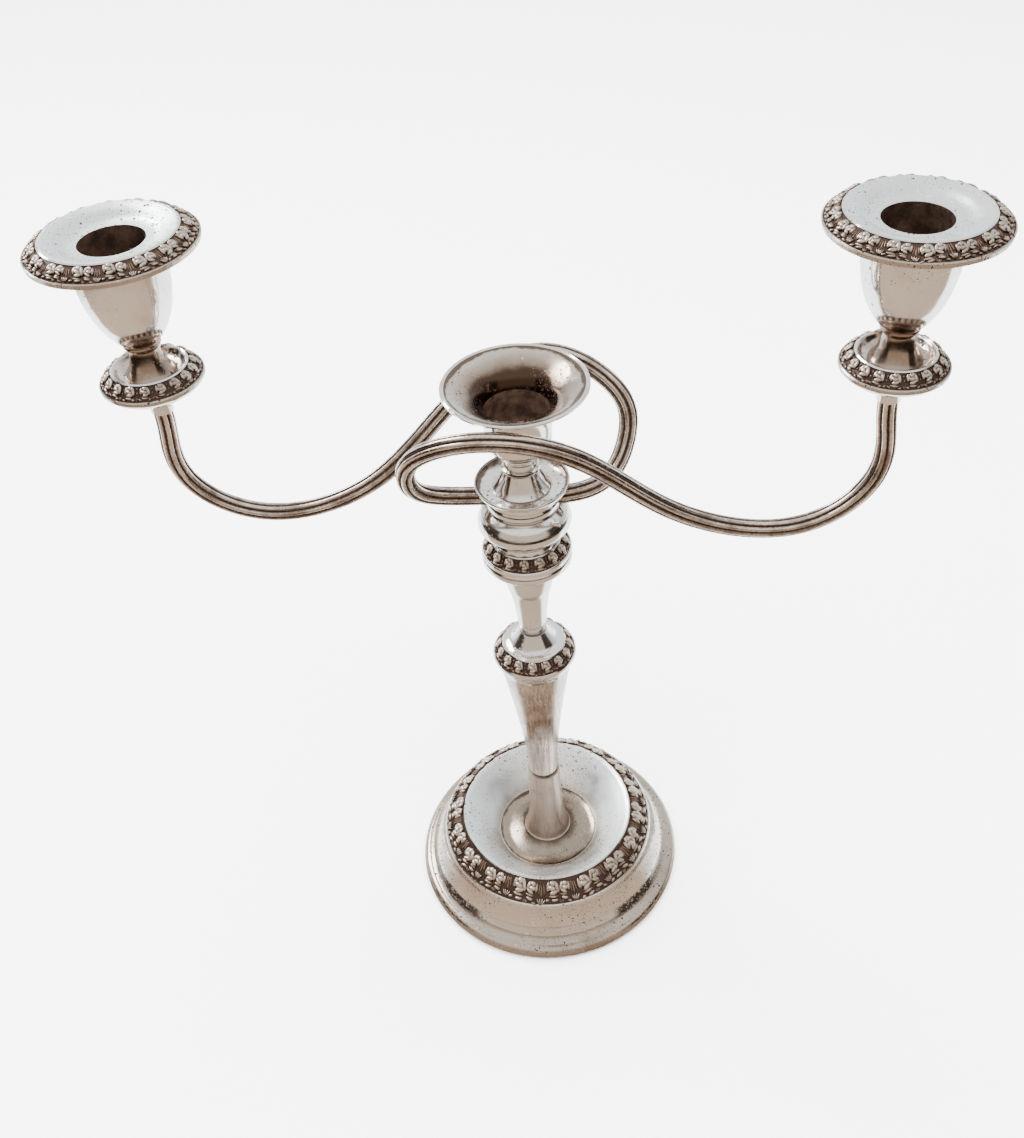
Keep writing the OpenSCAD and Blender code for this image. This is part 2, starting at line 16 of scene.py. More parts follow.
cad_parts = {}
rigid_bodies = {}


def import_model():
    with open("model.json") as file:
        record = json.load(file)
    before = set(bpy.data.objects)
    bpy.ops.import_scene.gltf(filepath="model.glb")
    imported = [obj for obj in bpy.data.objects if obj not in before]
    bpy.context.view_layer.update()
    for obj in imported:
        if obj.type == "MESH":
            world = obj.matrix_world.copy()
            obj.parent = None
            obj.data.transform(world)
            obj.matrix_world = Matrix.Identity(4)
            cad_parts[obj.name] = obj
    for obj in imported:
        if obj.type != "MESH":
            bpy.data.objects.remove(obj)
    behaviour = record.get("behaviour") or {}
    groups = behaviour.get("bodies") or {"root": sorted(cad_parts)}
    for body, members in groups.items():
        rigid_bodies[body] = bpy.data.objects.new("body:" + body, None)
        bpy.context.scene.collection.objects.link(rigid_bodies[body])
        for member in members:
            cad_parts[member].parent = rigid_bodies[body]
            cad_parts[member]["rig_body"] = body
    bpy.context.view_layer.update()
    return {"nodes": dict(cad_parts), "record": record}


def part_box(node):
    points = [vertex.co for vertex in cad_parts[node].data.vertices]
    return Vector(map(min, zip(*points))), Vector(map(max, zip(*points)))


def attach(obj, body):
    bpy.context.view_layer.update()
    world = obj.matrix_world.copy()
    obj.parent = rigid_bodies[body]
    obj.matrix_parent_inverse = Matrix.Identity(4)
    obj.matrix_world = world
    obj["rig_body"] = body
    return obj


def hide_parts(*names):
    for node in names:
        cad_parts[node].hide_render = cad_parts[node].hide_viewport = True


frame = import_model()
MM = 0.001
FULL_TURN = 2 * math.pi

# %% [markdown]
# The camera comes first, because every later choice is judged through it. It looks down on the
# piece from the front at about forty degrees and leans a little to one side.

# %% Camera
CAMERA_PLACE = Vector((0.0373, -0.3496, 0.5034))
YAW, PITCH, ROLL = (math.radians(a) for a in (-6.53, 40.06, -4.62))
ahead = Vector((math.sin(YAW) * math.cos(PITCH), math.cos(YAW) * math.cos(PITCH), -math.sin(PITCH)))
level = Vector((math.cos(YAW), -math.sin(YAW), 0))
upright = level.cross(ahead)
right = math.cos(ROLL) * level + math.sin(ROLL) * upright
up = math.cos(ROLL) * upright - math.sin(ROLL) * level
bpy.ops.object.camera_add()
camera = bpy.context.object
camera.matrix_world = Matrix.LocRotScale(
    CAMERA_PLACE, Matrix((right, up, -ahead)).transposed().to_quaternion(), None)
camera.data.sensor_width = 36
camera.data.lens = 38.13
camera.data.shift_x = -0.00535
camera.data.shift_y = -0.0390
camera.data.clip_start = 0.01
bpy.context.scene.camera = camera
print("camera is", round(CAMERA_PLACE.length, 3), "m from the middle of the base")

# %% [markdown]
# Polished silver has no colour of its own to speak of: it shows the room. So the room is part of
# the finish. The floor is pale paper. What the silver sees is set apart from it, on a card that
# only reflections show: warm in front of the piece, pale behind it, and dark far out in front.
# Behind everything stands a pale screen that only the camera sees, so low views have no dark edge.

# %% Floor
bpy.ops.mesh.primitive_plane_add(size=14)
floor = bpy.context.object
floor.name = "floor"
paper = bpy.data.materials.new("pale_floor")
paper.use_nodes = True
paper_shader = paper.node_tree.nodes["Principled BSDF"]
paper_shader.inputs["Base Color"].default_value = (0.94, 0.935, 0.93, 1)
paper_shader.inputs["Roughness"].default_value = 0.9
paper_shader.inputs["Specular IOR Level"].default_value = 0.1
floor.data.materials.append(paper)
floor.visible_glossy = False


# %% Helpers for the light
def math_node(tree, operation, first, second=0.0, clamp=False):
    """One sum on two values, each a number or a socket; clamp holds it between 0 and 1."""
    made = tree.nodes.new("ShaderNodeMath")
    made.operation = operation
    made.use_clamp = clamp
    for socket, value in zip(made.inputs, (first, second)):
        if isinstance(value, (int, float)):
            socket.default_value = value
        else:
            tree.links.new(value, socket)
    return made.outputs[0]


def remap(tree, value, low, high, to_low=0.0, to_high=1.0):
    """Takes low..high smoothly to to_low..to_high, and holds it there outside."""
    made = tree.nodes.new("ShaderNodeMapRange")
    made.interpolation_type = "SMOOTHSTEP"
    for socket, number in (("From Min", low), ("From Max", high), ("To Min", to_low), ("To Max", to_high)):
        made.inputs[socket].default_value = number
    tree.links.new(value, made.inputs["Value"])
    return made.outputs["Result"]


def blend_colour(tree, share, first, second):
    """Mixes two colours, each three numbers or a socket, by the share of the second."""
    made = tree.nodes.new("ShaderNodeMix")
    made.data_type = "RGBA"
    tree.links.new(share, made.inputs["Factor"])
    for socket, value in ((made.inputs[6], first), (made.inputs[7], second)):
        if isinstance(value, tuple):
            socket.default_value = (*value, 1)
        else:
            tree.links.new(value, socket)
    return made.outputs[2]


# %% Card that only reflections show
bpy.ops.mesh.primitive_circle_add(vertices=64, radius=6, fill_type="NGON", location=(0, 0, 0.2 * MM))
card = bpy.context.object
card.name = "reflected_card"
card_paint = bpy.data.materials.new("card_paint")
card_paint.use_nodes = True
tree = card_paint.node_tree
place = tree.nodes.new("ShaderNodeTexCoord")
apart = tree.nodes.new("ShaderNodeSeparateXYZ")
tree.links.new(place.outputs["Object"], apart.inputs[0])
reach = tree.nodes.new("ShaderNodeVectorMath")
reach.operation = "LENGTH"
tree.links.new(place.outputs["Object"], reach.inputs[0])
PALE_CARD, WARM_CARD, DARK_CARD = (0.50, 0.54, 0.56), (0.125, 0.100, 0.078), (0.008, 0.006, 0.005)
colour = blend_colour(tree, remap(tree, apart.outputs["Y"], 0.02, -0.03), PALE_CARD, WARM_CARD)
far = math_node(tree, "MULTIPLY", remap(tree, reach.outputs["Value"], 0.62, 0.8),
                remap(tree, apart.outputs["Y"], 0.7, 0.3))
colour = blend_colour(tree, far, colour, DARK_CARD)
card_shader = tree.nodes["Principled BSDF"]
tree.links.new(colour, card_shader.inputs["Base Color"])
card_shader.inputs["Roughness"].default_value = 1
card_shader.inputs["Specular IOR Level"].default_value = 0
card.data.materials.append(card_paint)
card.visible_camera = card.visible_diffuse = card.visible_shadow = card.visible_transmission = False

# %% Backdrop that only the camera sees
BACKDROP_HEIGHT = 8
bpy.ops.mesh.primitive_cylinder_add(vertices=96, radius=6.6, depth=BACKDROP_HEIGHT,
                                    end_fill_type="NOTHING", location=(0, 0, 3.99))
backdrop = bpy.context.object
backdrop.name = "backdrop"
backdrop_paint = bpy.data.materials.new("backdrop_paint")
backdrop_paint.use_nodes = True
backdrop_shader = backdrop_paint.node_tree.nodes["Principled BSDF"]
backdrop_shader.inputs["Base Color"].default_value = (0, 0, 0, 1)
backdrop_shader.inputs["Specular IOR Level"].default_value = 0
backdrop_shader.inputs["Emission Color"].default_value = (0.97, 1, 1, 1)
backdrop_shader.inputs["Emission Strength"].default_value = 3.0
backdrop.data.materials.append(backdrop_paint)
backdrop.visible_glossy = backdrop.visible_diffuse = False
backdrop.visible_shadow = backdrop.visible_transmission = False

# %% [markdown]
# The sky above the card is split in the same way. At the horizon it is warm and pale in front,
# dark at both sides, and bluish white behind. Higher up it is bluish white all round.

# %% Sky
world = bpy.data.worlds.new("studio")
bpy.context.scene.world = world
world.use_nodes = True
tree = world.node_tree
direction = tree.nodes.new("ShaderNodeTexCoord")
apart = tree.nodes.new("ShaderNodeSeparateXYZ")
tree.links.new(direction.outputs["Generated"], apart.inputs[0])
height_squared = math_node(tree, "MULTIPLY", apart.outputs["Z"], apart.outputs["Z"])
level_part = math_node(tree, "SQRT", math_node(tree, "SUBTRACT", 1.0001, height_squared))
backness = math_node(tree, "DIVIDE", apart.outputs["Y"], level_part)
round_about = tree.nodes.new("ShaderNodeValToRGB")
tree.links.new(remap(tree, backness, -1, 1), round_about.inputs["Fac"])
round_about.color_ramp.interpolation = "EASE"
HORIZON = [(0.0, (0.34, 0.295, 0.245)), (0.10, (0.36, 0.315, 0.265)), (0.17, (0.022, 0.016, 0.012)),
           (0.52, (0.03, 0.024, 0.019)), (0.68, (0.34, 0.37, 0.39)), (1.0, (0.62, 0.68, 0.72))]
for i, (place, colour) in enumerate(HORIZON):
    stop = round_about.color_ramp.elements[i] if i < 2 else round_about.color_ramp.elements.new(place)
    stop.position = place
    stop.color = (*colour, 1)
UPPER_SKY = (0.60, 0.63, 0.63)
height = remap(tree, apart.outputs["Z"], 0.42, 0.72)
sky = blend_colour(tree, height, round_about.outputs["Color"], UPPER_SKY)
tree.links.new(sky, tree.nodes["Background"].inputs["Color"])
tree.nodes["Background"].inputs["Strength"].default_value = 2.5


# %% Lamps
def soft_box(name, place, size, power, colour, seen):
    """An area lamp that faces the middle of the piece; seen says whether silver reflects it."""
    bpy.ops.object.light_add(type="AREA", location=place)
    lamp = bpy.context.object
    lamp.name = name
    lamp.data.shape = "RECTANGLE"
    lamp.data.size, lamp.data.size_y = size
    lamp.data.energy = power
    lamp.data.color = colour
    lamp.visible_glossy = seen
    aim = Vector((0, 0, 0.15)) - Vector(place)
    lamp.rotation_euler = aim.to_track_quat("-Z", "Y").to_euler()
    return lamp


soft_box("window", (-1.5, 1.0, 1.5), (0.9, 1.2), 70, (0.93, 0.97, 1.0), True)
soft_box("top", (0.0, -0.1, 2.4), (2.6, 2.6), 450, (1, 1, 1), False)

# %% [markdown]
# Every round piece of the real object was spun or turned on a lathe. The frame's node already has
# the right outline, but it is made of loose triangles. So a copy is merged, cut through its axis,
# and the cut edge is spun once more in many steps, which gives clean reflections.

# %% Turned pieces
def only(obj):
    """Selects one object and nothing else."""
    if bpy.context.object and bpy.context.object.mode != "OBJECT":
        bpy.ops.object.mode_set(mode="OBJECT")
    bpy.ops.object.select_all(action="DESELECT")
    obj.select_set(True)
    bpy.context.view_layer.objects.active = obj


SPIN_STEPS = 144
CREASE = math.radians(28)
MERGE_FINE = 1e-6
MERGE = 2e-6
MERGE_CUT = 5e-6
FLAT_ANGLE = math.radians(0.3)


def turn_again(node, name):
    """Spins the outline of a CAD node again and returns the new piece, which stands for it."""
    low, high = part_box(node)
    axis = ((low.x + high.x) / 2, (low.y + high.y) / 2, 0)
    piece = bpy.data.objects.new(name, frame["nodes"][node].data.copy())
    piece.data.materials.clear()
    bpy.context.scene.collection.objects.link(piece)
    only(piece)
    bpy.ops.object.mode_set(mode="EDIT")
    bpy.ops.mesh.select_all(action="SELECT")
    bpy.ops.mesh.remove_doubles(threshold=MERGE)
    bpy.ops.mesh.select_all(action="SELECT")
    bpy.ops.mesh.bisect(plane_co=axis, plane_no=(0, 1, 0), clear_inner=True)
    bpy.ops.mesh.select_all(action="SELECT")
    bpy.ops.mesh.bisect(plane_co=axis, plane_no=(1, 0, 0), clear_inner=True, clear_outer=True)
    bpy.ops.mesh.select_all(action="SELECT")
    bpy.ops.mesh.remove_doubles(threshold=MERGE_CUT)
    bpy.ops.mesh.select_all(action="SELECT")
    bpy.ops.mesh.dissolve_limited(angle_limit=FLAT_ANGLE)
    bpy.ops.mesh.select_all(action="SELECT")
    bpy.ops.mesh.spin(steps=SPIN_STEPS, angle=FULL_TURN, center=axis, axis=(0, 0, 1))
    bpy.ops.mesh.select_all(action="SELECT")
    bpy.ops.mesh.remove_doubles(threshold=MERGE)
    bpy.ops.mesh.select_all(action="SELECT")
    bpy.ops.mesh.normals_make_consistent(inside=False)
    bpy.ops.object.mode_set(mode="OBJECT")
    bpy.ops.object.shade_smooth_by_angle(angle=CREASE)
    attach(piece, frame["nodes"][node]["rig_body"])
    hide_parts(node)
    return piece


CENTRE_TURNED = ["base_shell", "stem_foot", "lower_column", "knop", "upper_column", "shoulder",
                 "candle_socket", "plug", "hub", "dish", "centre_stem", "centre_cup"]
SIDE_TURNED = ["ferrule", "pan_bowl", "pan", "cup_foot", "cup", "nozzle"]
turned = {}
for node in CENTRE_TURNED + [f"{n}_{side}" for n in SIDE_TURNED for side in ("right", "left")]:
    turned[node] = turn_again(node, f"spun_{node}")
print(len(turned), "turned pieces,", sum(len(p.data.polygons) for p in turned.values()), "faces")

# %% [markdown]
# The arms are cast rods with reeds along them. A circle is pulled in between the reeds to make
# the section, and the section follows a path: a spline with the points that the arm was designed
# on. A path that passes near its points, and not through them, has no flat or tight spot.

# %% Section of an arm
ARM_RADIUS = 3.55 * MM
REEDS = 8
REED_DEPTH = 0.75 * MM
REED_CREASE = math.radians(50)
POINTS_A_REED = 10
bpy.ops.object.select_all(action="DESELECT")
bpy.ops.mesh.primitive_circle_add(vertices=REEDS * POINTS_A_REED, radius=ARM_RADIUS)
section = bpy.context.object
section.name = "arm_section"
for corner in section.data.vertices:
    turn = math.atan2(corner.co.y, corner.co.x)
    valley = 1 - abs(math.cos(REEDS * turn / 2)) ** 0.8
    corner.co *= 1 - valley * REED_DEPTH / ARM_RADIUS
bpy.ops.object.convert(target="CURVE")

# %% Path of an arm
hub_low, hub_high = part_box("hub")
ferrule_low, ferrule_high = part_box("ferrule_right")
Z_HUB, Z_FERRULE = hub_low.z / MM, ferrule_low.z / MM
REACH = (ferrule_low.x + ferrule_high.x) / 2 / MM
ROOT = hub_high.x / MM - 5.4
Z_ARM = Z_HUB + 3.9
LOOP_BACK, LOOP_FRONT = 39, 25
ARM_POINTS = [(-ROOT - 0.3, 0, Z_ARM), (-ROOT - 6, 0, Z_ARM), (-LOOP_BACK + 6, -3, Z_ARM + 2),
              (-LOOP_BACK - 1.5, -17, Z_HUB + 20.5), (-LOOP_BACK, -LOOP_FRONT + 5, Z_HUB + 38),
              (-8, -LOOP_FRONT - 6.6, Z_HUB + 54.5), (0.2 * REACH, -LOOP_FRONT + 5, Z_HUB + 37.5),
              (0.417 * REACH, -9.5, Z_HUB), (0.798 * REACH, -5.5, Z_HUB - 14),
              (REACH + 4.2, -1.6, Z_HUB + 11), (REACH, 0, Z_FERRULE - 8),
              (REACH, 0, Z_FERRULE), (REACH, 0, Z_FERRULE + 3.6)]


def beyond(end, inner):
    """The point past an end that makes the spline start at that end."""
    return tuple(2 * e - i for e, i in zip(end, inner))


PATH_POINTS = [beyond(ARM_POINTS[0], ARM_POINTS[1]), *ARM_POINTS, beyond(ARM_POINTS[-1], ARM_POINTS[-2])]


def reeded_arm(name, node, half_turns):
    """Sweeps the reeded section along the arm's path."""
    bpy.ops.object.select_all(action="DESELECT")
    bpy.ops.curve.primitive_nurbs_path_add()
    arm = bpy.context.object
    arm.name = name
    route = arm.data
    route.splines.clear()
    line = route.splines.new("NURBS")
    line.points.add(len(PATH_POINTS) - 1)
    for corner, place in zip(line.points, PATH_POINTS):
        corner.co = (*(p * MM for p in place), 1)
    line.order_u = 4
    line.use_endpoint_u = False
    line.resolution_u = 14
    route.dimensions = "3D"
    route.twist_mode = "MINIMUM"
    route.bevel_mode = "OBJECT"
    route.bevel_object = section
    route.use_fill_caps = True
    arm.rotation_euler.z = half_turns * math.pi
    only(arm)
    bpy.ops.object.convert(target="MESH")
    bpy.ops.object.transform_apply(location=True, rotation=True, scale=True)
    bpy.ops.object.mode_set(mode="EDIT")
    bpy.ops.mesh.select_all(action="SELECT")
    bpy.ops.mesh.remove_doubles(threshold=MERGE_FINE)
    bpy.ops.mesh.select_all(action="SELECT")
    bpy.ops.mesh.normals_make_consistent(inside=False)
    bpy.ops.object.mode_set(mode="OBJECT")
    bpy.ops.object.shade_smooth_by_angle(angle=REED_CREASE)
    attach(arm, "branch")
    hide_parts(node)
    return arm


def spline_points(steps):
    """The arm's path as a dense list of points, to measure how deep a groove is."""
    p = np.array(PATH_POINTS) * MM
    t = (np.arange(steps) / steps)[:, None]
    spans = [((1 - t) ** 3 * p[i] + (3 * t ** 3 - 6 * t ** 2 + 4) * p[i + 1]
              + (-3 * t ** 3 + 3 * t ** 2 + 3 * t + 1) * p[i + 2] + t ** 3 * p[i + 3]) / 6
             for i in range(len(p) - 3)]
    return np.concatenate(spans)


arms = {"arm_right": reeded_arm("reeded_arm_right", "arm_right", 0),
        "arm_left": reeded_arm("reeded_arm_left", "arm_left", 1)}
bpy.data.objects.remove(section)


# %% Grooves of an arm
def write_attribute(piece, name, values):
    """Stores one number a vertex, which the finish reads."""
    store = piece.data.attributes.new(name, "FLOAT", "POINT")
    store.data.foreach_set("value", np.asarray(values, np.float32))


middle = spline_points(60)
for node, arm in arms.items():
    place = np.array([v.co for v in arm.data.vertices])
    path = middle if node == "arm_right" else middle * np.array((-1, -1, 1))
    gap = np.concatenate([np.linalg.norm(part[:, None] - path[None], axis=2).min(1)
                          for part in np.array_split(place, 40)])
    write_attribute(arm, "rise", np.clip(1 - (ARM_RADIUS - gap) / REED_DEPTH, 0, 1))
    depth_mm = round((ARM_RADIUS - gap).max() / MM, 2)
    print(node, len(arm.data.polygons), "faces, groove depth", depth_mm, "mm")

# %% [markdown]
# The borders are cast rings of roses. One stretch of the pattern is modelled on the flat: rose
# heads, each a bud between thick petals, with lower petals, thin upright leaves and ribbed shells.
# It is then copied round the ring, and each copy is bent onto the slope of its border.

# %% Parts of a rose
def shape_part(parts, x, y, z, turn, tilt, stretch):
    """Puts the new primitive in its place on the flat, in millimetres."""
    obj = bpy.context.object
    obj.scale = [s * MM for s in stretch]
    obj.rotation_euler = (tilt, 0, turn)
    obj.location = (x * MM, y * MM, z * MM)
    bpy.ops.object.transform_apply(location=True, rotation=True, scale=True)
    parts.append(obj)


def ball(parts, x, y, z, rx, ry, rz, turn=0.0, tilt=0.0, segments=10, rings=7):
    bpy.ops.mesh.primitive_uv_sphere_add(segments=segments, ring_count=rings, radius=1)
    shape_part(parts, x, y, z, math.radians(turn), math.radians(tilt), (rx, ry, rz))


def rose_head(parts, x, y, s, turn=0.0, hand=1):
    """A rose head: a bud held by two side petals, over three broad front petals. Hand -1 mirrors it."""
    cos, sin = math.cos(math.radians(turn)), math.sin(math.radians(turn))
    for dx, dy, dz, across, along, high, own_turn in (
            (0.06, 0.60, 0.20, 0.44, 0.40, 0.30, 0),
            (-0.56, 0.30, 0.10, 0.32, 0.66, 0.29, -12),
            (0.56, 0.16, 0.12, 0.33, 0.78, 0.30, 10),
            (-0.08, 0.04, 0.24, 0.54, 0.36, 0.28, -20),
            (0.06, -0.46, 0.17, 0.60, 0.32, 0.28, 14),
            (-0.06, -0.94, 0.06, 0.62, 0.24, 0.25, -6)):
        dx = dx * hand
        ball(parts, x + s * (dx * cos - dy * sin), y + s * (dx * sin + dy * cos), dz * s,
             across * s, along * s, high * s, turn + own_turn * hand)


def leaf(parts, x, y, length, width, turn, lift=0.0):
    """A plain leaf or petal that lies along its own direction."""
    ball(parts, x, y, lift, length, width, width * 1.25, turn, 0, 10, 6)


def shell(parts, x, y, s, ribs=4):
    """A ribbed shell: narrow fingers that fan out from one point."""
    for i in range(ribs):
        lean = (i - (ribs - 1) / 2) * 20
        ball(parts, x + s * 0.95 * math.sin(math.radians(lean)), y + s * 0.4 * math.cos(math.radians(lean)),
             0.05 * s, 0.22 * s, 0.85 * s, 0.50 * s, -lean, 0, 8, 6)


# %% One stretch of each border
SINK = 0.35 * MM
PETAL_CREASE = math.radians(40)


def join_stretch(parts, name):
    """Joins the parts, cuts them off just under the ground and closes the cut."""
    bpy.ops.object.select_all(action="DESELECT")
    for part in parts:
        part.select_set(True)
    bpy.context.view_layer.objects.active = parts[0]
    bpy.ops.object.join()
    stretch = bpy.context.object
    stretch.name = name
    bpy.ops.object.mode_set(mode="EDIT")
    bpy.ops.mesh.select_all(action="SELECT")
    bpy.ops.mesh.bisect(plane_co=(0, 0, -SINK), plane_no=(0, 0, 1), use_fill=True, clear_inner=True)
    bpy.ops.object.mode_set(mode="OBJECT")
    bpy.ops.object.shade_smooth_by_angle(angle=PETAL_CREASE)
    return stretch


def pair_stretch(name, pitch, width, s):
    """A pair of roses over lower petals, with leaves and shells: the wide borders' pattern."""
    parts = []
    rose_head(parts, -0.21 * pitch, 0.10 * width, s, 8)
    rose_head(parts, 0.16 * pitch, 0.14 * width, s * 0.86, -14, -1)
    for x, y, length, thick, turn in ((-0.14, -0.36, 0.12, 0.075, 14), (0.15, -0.26, 0.12, 0.080, -10),
                                      (-0.37, -0.38, 0.08, 0.065, 30), (0.28, -0.40, 0.08, 0.060, -24)):
        leaf(parts, x * pitch, y * width, length * pitch, thick * width, turn, 0.08 * s)
    for x, y, length, turn in ((0.37, 0.16, 0.24, 84), (0.44, 0.10, 0.28, 93), (0.51, 0.17, 0.24, 100)):
        leaf(parts, x * pitch, y * width, length * width, 0.045 * width, turn)
    shell(parts, 0.46 * pitch, -0.37 * width, s * 0.60, 4)
    shell(parts, 0.04 * pitch, -0.44 * width, s * 0.36, 4)
    return join_stretch(parts, name)


def single_stretch(name, pitch, width, s):
    """One rose with small leaves below it: the narrow borders' pattern."""
    parts = []
    rose_head(parts, 0.0, 0.09 * width, s, 5)
    for x, y, length, thick, turn in ((-0.30, -0.36, 0.13, 0.075, -30), (0.28, -0.36, 0.13, 0.075, 30),
                                      (0.50, 0.30, 0.08, 0.060, 80), (0.50, 0.04, 0.09, 0.055, 96)):
        leaf(parts, x * pitch, y * width, length * pitch, thick * width, turn, 0.04 * s)
    shell(parts, 0.49 * pitch, -0.36 * width, s * 0.40, 3)
    return join_stretch(parts, name)


# %% [markdown]
# A border lies on a cone, from a lower edge to an upper edge. Each point of a flat stretch has a
# place along the ring, a place up the slope and a height off it, and these three say where the
# point goes. The relief gets lower towards both lips, so a rose stands at most a hair past them.
# Small changes of size and turn keep the cast roses from looking stamped.

# %% Bend the stretches onto their rings
EDGES = {
    "base_border": ((48.5, 24.2), (39.0, 31.9)),
    "knop_border": ((17.2, 140.1), (12.8, 145.5)),
    "shoulder_border": ((17.4, 197.1), (13.2, 202.0)),
    "pan_border": ((18.4, 277.8), (13.2, 282.6)),
    "nozzle_border": ((28.95, 329.2), (22.6, 333.4)),
}
PAIRS = {"base_border": 18, "nozzle_border": 16}
ROSES = {"knop_border": 16, "shoulder_border": 16, "pan_border": 18}
ROSE_SIZE = {"base_border": 3.7, "nozzle_border": 2.4, "knop_border": 2.35, "shoulder_border": 2.35,
             "pan_border": 2.25}
LIP = 0.6
GROUND_DEPTH = 0.35
GROUND_BACK = 0.9
LEAST_ROOM = 0.15


def rose_ring(node, kind, stretch, count, seed):
    """Copies the stretch round the ring and joins the copies with a plain ground."""
    low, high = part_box(node)
    centre = Vector(((low.x + high.x) / 2, (low.y + high.y) / 2, 0))
    lower, upper = (np.array(e) * MM for e in EDGES[kind])
    slope = (upper - lower) / np.linalg.norm(upper - lower)
    out = np.array((slope[1], -slope[0]))
    middle_point = (lower + upper) / 2
    flat = np.array([v.co for v in stretch.data.vertices])
    rng = random.Random(seed)
    copies = []
    for i in range(count):
        copy = stretch.copy()
        copy.data = stretch.data.copy()
        bpy.context.scene.collection.objects.link(copy)
        lean, grow = math.radians(rng.uniform(-7, 7)), rng.uniform(0.94, 1.05)
        x = grow * (flat[:, 0] * math.cos(lean) - flat[:, 1] * math.sin(lean))
        y = grow * (flat[:, 0] * math.sin(lean) + flat[:, 1] * math.cos(lean))
        z = flat[:, 2] - GROUND_DEPTH * MM
        room = np.minimum((upper[1] - middle_point[1] - slope[1] * y) / out[1],
                          (lower[0] - middle_point[0] - slope[0] * y) / out[0])
        room = np.maximum(room, LEAST_ROOM * MM)
        z = np.where(z > 0, z / np.cbrt(1 + (np.maximum(z, 0) / room) ** 3), z)
        turn = FULL_TURN * i / count + x / middle_point[0]
        radius = middle_point[0] + slope[0] * y + out[0] * z
        rise = middle_point[1] + slope[1] * y + out[1] * z
        put = np.stack([centre.x + radius * np.cos(turn), centre.y + radius * np.sin(turn), rise], 1)
        copy.data.vertices.foreach_set("co", put.ravel())
        write_attribute(copy, "rise", np.clip(flat[:, 2] / (0.9 * flat[:, 2].max()), 0, 1))
        copies.append(copy)
    corners = [lower + slope * LIP * MM, upper - slope * LIP * MM]
    depth = [corners[0] - out * (GROUND_DEPTH * MM), corners[1] - out * (GROUND_DEPTH * MM),
             corners[1] - out * GROUND_BACK * MM, corners[0] - out * GROUND_BACK * MM]
    mesh = bpy.data.meshes.new(node + "_ground")
    mesh.from_pydata([(centre.x + p[0], centre.y, p[1]) for p in depth],
                     [(0, 1), (1, 2), (2, 3), (3, 0)], [])
    ground = bpy.data.objects.new("cast_" + node, mesh)
    bpy.context.scene.collection.objects.link(ground)
    only(ground)
    bpy.ops.object.mode_set(mode="EDIT")
    bpy.ops.mesh.select_all(action="SELECT")
    bpy.ops.mesh.spin(steps=SPIN_STEPS, angle=FULL_TURN, center=centre, axis=(0, 0, 1))
    bpy.ops.mesh.select_all(action="SELECT")
    bpy.ops.mesh.remove_doubles(threshold=MERGE_FINE)
    bpy.ops.mesh.select_all(action="SELECT")
    bpy.ops.mesh.normals_make_consistent(inside=False)
    bpy.ops.object.mode_set(mode="OBJECT")
    bpy.ops.object.shade_smooth_by_angle(angle=CREASE)
    write_attribute(ground, "rise", np.zeros(len(ground.data.vertices)))
    for copy in copies:
        copy.select_set(True)
    bpy.ops.object.join()
    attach(ground, frame["nodes"][node]["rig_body"])
    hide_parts(node)
    print(node, count, "stretches,", len(ground.data.polygons), "faces")
    return ground


borders = {}
for kind, (lower, upper) in EDGES.items():
    count = PAIRS.get(kind) or ROSES[kind]
    pitch = FULL_TURN * (lower[0] + upper[0]) / 2 / count
    width = math.dist(lower, upper) - 2 * LIP
    make = pair_stretch if kind in PAIRS else single_stretch
    stretch = make(kind + "_stretch", pitch, width, ROSE_SIZE[kind])
    names = [kind] if kind in frame["nodes"] else [f"{kind}_right", f"{kind}_left"]
    for node in names:
        borders[node] = rose_ring(node, kind, stretch, count, seed=len(borders) + 5)
    bpy.data.objects.remove(stretch)

# %% [markdown]
# The finish is silver plate that has been used for years. Its colour drifts between cool and warm
# as thin tarnish does, and small pits show where the plate has lifted. Corners where a cloth can't
# reach are painted dark: tarnish and painted shade together. The lathe and the polishing cloth
# leave fine lines and a gentle ripple.


# %% Node helpers
def new_material(name):
    made = bpy.data.materials.new(name)
    made.use_nodes = True
    return made, made.node_tree, made.node_tree.nodes["Principled BSDF"]


def noise(tree, scale, detail=3.0, rough=0.5, stretch=(1, 1, 1)):
    """Noise on the piece's own coordinates, with its scale in cells to the metre."""
    where = tree.nodes.new("ShaderNodeTexCoord")
    size = tree.nodes.new("ShaderNodeMapping")
    size.inputs["Scale"].default_value = stretch
    made = tree.nodes.new("ShaderNodeTexNoise")
    made.inputs["Scale"].default_value = scale
    made.inputs["Detail"].default_value = detail
    made.inputs["Roughness"].default_value = rough
    tree.links.new(where.outputs["Object"], size.inputs["Vector"])
    tree.links.new(size.outputs["Vector"], made.inputs["Vector"])
    return made.outputs["Fac"]


def combine(tree, operation, first, second):
    """A sum of two shares, held between 0 and 1."""
    return math_node(tree, operation, first, second, clamp=True)


def bump(tree, height, strength, distance, onto=None):
    made = tree.nodes.new("ShaderNodeBump")
    made.inputs["Strength"].default_value = strength
    made.inputs["Distance"].default_value = distance
    tree.links.new(height, made.inputs["Height"])
    if onto is not None:
        tree.links.new(onto, made.inputs["Normal"])
    return made.outputs["Normal"]


def crevice(tree, reach):
    """How closed in a point is: one in a tight corner, nothing on an open face."""
    made = tree.nodes.new("ShaderNodeAmbientOcclusion")
    made.samples = 6
    made.inputs["Distance"].default_value = reach
    return combine(tree, "SUBTRACT", 1.0, made.outputs["AO"])


